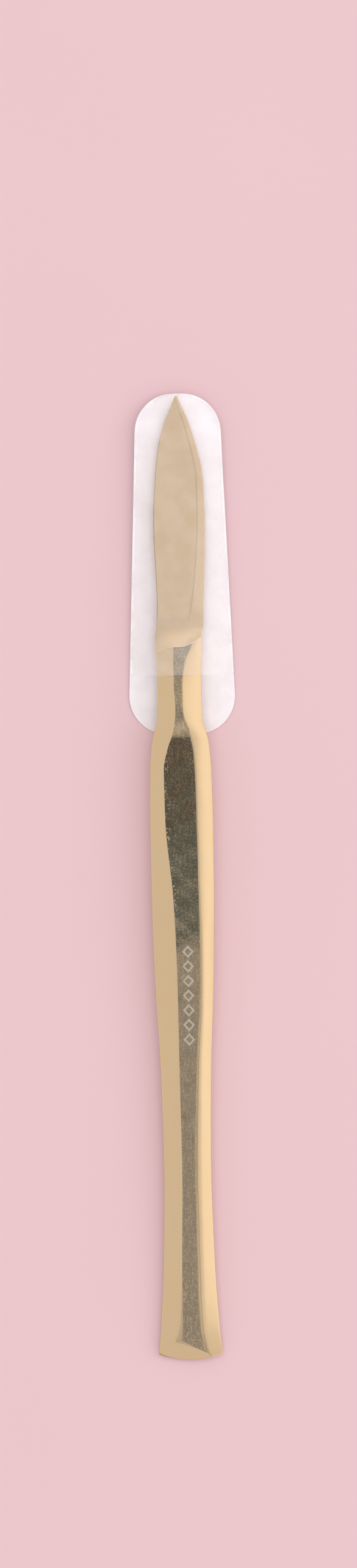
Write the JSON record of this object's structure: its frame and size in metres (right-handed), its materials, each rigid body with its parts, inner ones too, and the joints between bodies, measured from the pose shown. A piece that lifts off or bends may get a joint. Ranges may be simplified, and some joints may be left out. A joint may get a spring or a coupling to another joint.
{
  "type": "cuticle pusher",
  "caption": "Gold-finished steel manicure tool with a flared cuticle pusher, a faceted handle and a spear-shaped knife blade in a slip-on plastic guard.",
  "frame": {"origin": "on the ground back of the handle, on the tool's middle line, halfway between the pusher's edge and the blade's tip", "axes": "+Y along the tool towards the blade's tip, +Z out of the front facet, +X towards the blade's cutting edge"},
  "size_m": [0.0137, 0.1254, 0.005],
  "materials": {
    "gold_steel": "polished",
    "milky_sheet": "satin",
    "clear_film": "gloss"
  },
  "bodies": {
    "tool": {"tool_forging": "gold_steel"},
    "guard": {"guard_back_sheet": "milky_sheet", "guard_front_film": "clear_film"}
  },
  "joints": [
    {"name": "guard_slide", "type": "slide", "parent": "tool", "child": "guard", "axis": [0, 1, 0], "range_m": [0, 0.045]}
  ]
}
